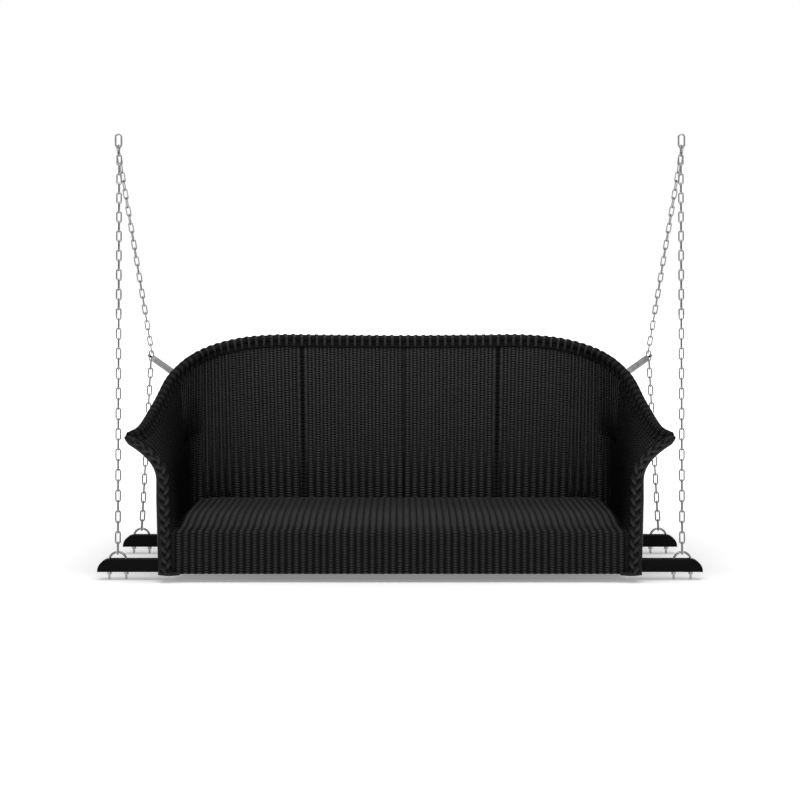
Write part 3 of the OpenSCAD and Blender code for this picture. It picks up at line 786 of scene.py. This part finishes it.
class SWING_OT_wind_posts(bpy.types.Operator):
    """Wind each front post up to the tip of its arm, and close the slit and the foot beside it"""

    bl_idname = "porch_swing.wind_posts"
    bl_label = "Wind the front posts"

    def execute(self, context):
        per_turn = 18
        n = POST_TURNS * per_turn
        height = np.linspace(0.006, TIP_HEIGHT, 200)
        along = np.concatenate([[0], np.cumsum(np.linalg.norm(np.diff(post(height), axis=0), axis=1))])
        w = np.interp(np.linspace(0, along[-1], n + 1), along, height)
        a = np.arange(n + 1) * 2 * math.pi / per_turn
        centre = post(w)
        tangent = unit(np.gradient(centre, axis=0))
        forward = np.broadcast_to(np.array([0.0, -1.0, 0.0]), tangent.shape)
        sideways = unit(np.cross(tangent, forward))
        outward = np.cos(a)[:, None] * sideways + np.sin(a)[:, None] * forward
        closing = np.sqrt(np.clip((TIP_HEIGHT + 0.0005 - w) / 0.028, 0.02, 1))
        radius = winding_radius(w) * closing
        path = centre + radius[:, None] * outward
        for name, turn in (("right", lambda p: p), ("left", mirrored)):
            strands = Strands()
            strands.add(turn(path), turn(outward), *POST_STRAND, 0.45)
            edge_height = np.linspace(2.0, 112.0, 12)
            edge = np.stack([np.full(12, 622.0), np.full(12, 5.0), edge_height], -1)
            strands.add(turn(edge), np.array([0.0, -1.0, 0.0]), 4.6, 2.4, 0.3)
            foot = np.linspace(FOOT_IN, POST_X + WRAP_R - 3, 24)
            for lane, depth in ((-1, 0.0), (0, 1.8), (1, 0.0)):
                droop = 3.2 - 2.4 * np.sin(np.linspace(0, math.pi, 24))
                line = np.stack([foot, np.full(24, -3.4 - depth), droop + 3.0 * lane], -1)
                strands.add(turn(line), np.array([0.0, -1.0, 0.0]), 1.7, 1.5, 0.5)
            strands.build(
                "post_winding_" + name, strand_finish(), replaces=("arm_wrap_" + name,)
            )
        return {"FINISHED"}


class SWING_OT_plait_arms(bpy.types.Operator):
    """Plait the braid that covers the front of each arm"""

    bl_idname = "porch_swing.plait_arms"
    bl_label = "Plait the arm braids"

    def execute(self, context):
        w = np.linspace(0.004, 0.985, 300)
        centre = post(w, PLAIT_INSET, POST_Y - winding_radius(w) - PLAIT_STAND_OFF)
        along = np.concatenate([[0], np.cumsum(np.linalg.norm(np.diff(centre, axis=0), axis=1))])
        tangent = unit(np.gradient(centre, axis=0))
        forward = np.broadcast_to(np.array([0.0, -1.0, 0.0]), tangent.shape)
        sideways = unit(np.cross(tangent, forward))
        fade = 1 - 0.5 * np.maximum(0, (w - 0.7) / 0.3) ** 2
        for name, turn in (("right", lambda p: p), ("left", mirrored)):
            strands = Strands()
            for phase in np.arange(3) * 2 * math.pi / 3:
                a = 2 * math.pi * along / PLAIT_PERIOD + phase
                for lane in (-1, 0, 1):
                    across = (PLAIT_SWING * np.sin(a) + PLAIT_LANE * lane) * fade
                    depth = 2.4 * np.sin(2 * a) + 0.7 * (1 - abs(lane))
                    path = centre + across[:, None] * sideways + (depth * fade)[:, None] * forward
                    # painted shade and highlight: strands paler where they stand proud of the braid, darker
                    # where they sink
                    tone = 0.4 + 0.3 * np.sin(2 * a)
                    width = PLAIT_STRAND[0] * fade[None]
                    strands.add(turn(path), turn(forward), width, PLAIT_STRAND[1], tone[None])
            strands.build(
                "arm_plait_" + name, strand_finish(), replaces=("arm_braid_" + name,)
            )
        return {"FINISHED"}


# ---------- carried parts ----------


class SWING_OT_finish_metal(bpy.types.Operator):
    """Give the chains, bolts, links, screws and tubes their metal finishes"""

    bl_idname = "porch_swing.finish_metal"
    bl_label = "Finish the metal"

    def execute(self, context):
        metal = context.scene.porch_swing_metal
        zinc = zinc_material("zinc plated chain", tuple(metal.zinc_colour), (0.24, 0.42))
        bright = zinc_material("zinc plated bolt", tuple(c * 1.05 for c in metal.zinc_colour), (0.2, 0.36))
        screw = zinc_material("darkened screw", (0.3, 0.3, 0.31), (0.35, 0.5))
        even = (1, 1, 1)
        tube = paint_material("black frame tube", (0.008, 0.008, 0.009), (0.35, 0.5), 700, even, 0.0003)
        grey_colour = tuple(metal.grey_tube_colour)
        grey = paint_material("grey support tube", grey_colour, (0.3, 0.42), 900, even, 0.0002)
        cap = paint_material("black cap", (0.006, 0.006, 0.006), (0.45, 0.6), 1100, even, 0.0002)
        for stem in ("hanging_link", "first_links", "front_chain", "rear_upper_chain", "rear_lower_chain"):
            dress(zinc, *both(stem))
        dress(bright, *both("u_bolt_front"), *both("u_bolt_rear"), "u_bolt_washers", "u_bolt_nuts")
        dress(screw, "rail_screws", "collar_screws")
        dress(grey, *both("support_arm"))
        dress(cap, *both("support_cap"))
        dress(
            tube,
            "base_front_tube", "base_rear_tube", *both("base_side_tube"),
            "seat_front_tube", "seat_rear_tube", *both("seat_side_tube"),
            "riser_tubes", "seat_slats", "nose_rod", *both("front_post"), "rim_tube",
            *both("back_upright"), *both("corner_post"), *both("support_collar"),
        )
        return {"FINISHED"}


class SWING_OT_finish_rails(bpy.types.Operator):
    """Give the two rails their black paint with the grain showing under it"""

    bl_idname = "porch_swing.finish_rails"
    bl_label = "Finish the rails"

    def execute(self, context):
        colour = tuple(context.scene.porch_swing_metal.rail_colour)
        along_the_rail = (0.06, 1, 1)
        paint = paint_material("black rail paint", colour, (0.3, 0.45), 120, along_the_rail, 0.0006)
        dress(paint, "front_rail", "rear_rail")
        return {"FINISHED"}


# ---------- stage ----------


def area_light(name, place, aim, size, power):
    data = bpy.data.lights.new(name, "AREA")
    data.shape = "RECTANGLE"
    data.size, data.size_y = size
    data.energy = power
    light = bpy.data.objects.new(name, data)
    light.location = place
    light.rotation_euler = (Vector(aim) - Vector(place)).to_track_quat("-Z", "Y").to_euler()
    bpy.context.scene.collection.objects.link(light)


class SWING_OT_set_stage(bpy.types.Operator):
    """Lay the pale floor, set the soft lights and place the camera"""

    bl_idname = "porch_swing.set_stage"
    bl_label = "Set the stage"

    def execute(self, context):
        stage = context.scene.porch_swing_stage
        low = CAD_BOUNDS[0][2] - stage.floor_drop
        mesh = bpy.data.meshes.new("floor")
        reach = 30.0
        corners = [(x * reach, y * reach, low) for x, y in ((-1, -1), (1, -1), (1, 1), (-1, 1))]
        mesh.from_pydata(corners, [], [(0, 1, 2, 3)])
        material, tree, shader = new_material("pale floor")
        tone = ramp(tree, noise(tree, 3).outputs["Fac"], (0.9, 0.9, 0.9), (0.93, 0.93, 0.93))
        tree.links.new(tone, shader.inputs["Base Color"])
        shader.inputs["Roughness"].default_value = 1.0
        shader.inputs["Specular IOR Level"].default_value = 0.0
        shader.inputs["Emission Color"].default_value = (1, 1, 1, 1)
        coords = tree.nodes.new("ShaderNodeTexCoord")
        distance = tree.nodes.new("ShaderNodeVectorMath")
        distance.operation = "LENGTH"
        tree.links.new(coords.outputs["Object"], distance.inputs[0])
        glow = tree.nodes.new("ShaderNodeMapRange")
        for name, value in (("From Min", 1.3), ("From Max", 3.0), ("To Min", 0.24), ("To Max", 1.2)):
            glow.inputs[name].default_value = value
        tree.links.new(distance.outputs["Value"], glow.inputs["Value"])
        tree.links.new(glow.outputs["Result"], shader.inputs["Emission Strength"])
        mesh.materials.append(material)
        floor = bpy.data.objects.new("floor", mesh)
        context.scene.collection.objects.link(floor)

        world = bpy.data.worlds.new("studio")
        context.scene.world = world
        world.use_nodes = True
        self.light_world(world.node_tree)
        context.scene.view_settings.view_transform = "Standard"
        apron = -HOOK_BACK * MM
        area_light("overhead", (0, apron - 0.6, 2.0), (0, apron + 0.2, -1), (4.5, 2.0), OVERHEAD_WATTS)
        area_light("front", (0, apron - 3.4, 0.5), (0, apron + 0.3, -0.8), (1.2, 1.2), FRONT_WATTS)

        data = bpy.data.cameras.new("camera")
        data.lens = stage.lens
        data.sensor_width = 36
        data.shift_y = stage.camera_shift
        data.dof.use_dof = False
        camera = bpy.data.objects.new("camera", data)
        camera.location = (0, apron - stage.camera_distance, stage.camera_height - HOOK_HEIGHT * MM)
        camera.rotation_euler = (math.pi / 2, 0, 0)
        context.scene.collection.objects.link(camera)
        context.scene.camera = camera
        return {"FINISHED"}

    @staticmethod
    def light_world(tree):
        """White behind the swing; the light itself is bright from above and dim near the horizon."""
        links = tree.links
        coords = tree.nodes.new("ShaderNodeTexCoord")
        split = tree.nodes.new("ShaderNodeSeparateXYZ")
        links.new(coords.outputs["Generated"], split.inputs["Vector"])
        fade = tree.nodes.new("ShaderNodeValToRGB")
        fade.color_ramp.elements[0].position = 0.0
        fade.color_ramp.elements[0].color = (0.04, 0.04, 0.04, 1)
        fade.color_ramp.elements[1].position = 0.75
        fade.color_ramp.elements[1].color = (0.3, 0.3, 0.3, 1)
        links.new(split.outputs["Z"], fade.inputs["Fac"])
        light = tree.nodes["Background"]
        links.new(fade.outputs["Color"], light.inputs["Color"])
        light.inputs["Strength"].default_value = 1.0
        backdrop = tree.nodes.new("ShaderNodeBackground")
        backdrop.inputs["Color"].default_value = (1, 1, 1, 1)
        seen = tree.nodes.new("ShaderNodeLightPath")
        mix = tree.nodes.new("ShaderNodeMixShader")
        links.new(seen.outputs["Is Camera Ray"], mix.inputs["Fac"])
        links.new(light.outputs["Background"], mix.inputs[1])
        links.new(backdrop.outputs["Background"], mix.inputs[2])
        links.new(mix.outputs["Shader"], tree.nodes["World Output"].inputs["Surface"])


class SWING_PT_build(bpy.types.Panel):
    """The steps that make the swing, in order"""

    bl_label = "Porch Swing"
    bl_idname = "SWING_PT_build"
    bl_space_type = "VIEW_3D"
    bl_region_type = "UI"
    bl_category = "Porch Swing"

    def draw(self, context):
        for group in ("porch_swing_weave", "porch_swing_metal", "porch_swing_stage"):
            settings = getattr(context.scene, group)
            column = self.layout.column(align=True)
            for name in settings.__annotations__:
                column.prop(settings, name)
        for step in STEPS:
            self.layout.operator(step.bl_idname)


GROUPS = {
    "porch_swing_weave": PorchSwingWeave,
    "porch_swing_metal": PorchSwingMetal,
    "porch_swing_stage": PorchSwingStage,
}
STEPS = (
    SWING_OT_weave_back,
    SWING_OT_weave_arms,
    SWING_OT_weave_seat,
    SWING_OT_wind_border,
    SWING_OT_wind_posts,
    SWING_OT_plait_arms,
    SWING_OT_finish_metal,
    SWING_OT_finish_rails,
    SWING_OT_set_stage,
)


def register():
    for cls in (*GROUPS.values(), *STEPS, SWING_PT_build):
        bpy.utils.register_class(cls)
    for name, cls in GROUPS.items():
        setattr(bpy.types.Scene, name, bpy.props.PointerProperty(type=cls))


def unregister():
    for name in GROUPS:
        delattr(bpy.types.Scene, name)
    for cls in reversed((*GROUPS.values(), *STEPS, SWING_PT_build)):
        bpy.utils.unregister_class(cls)


def main():
    register()
    for step in STEPS:
        group, name = step.bl_idname.split(".")
        getattr(getattr(bpy.ops, group), name)()


if __name__ == "__main__":
    main()
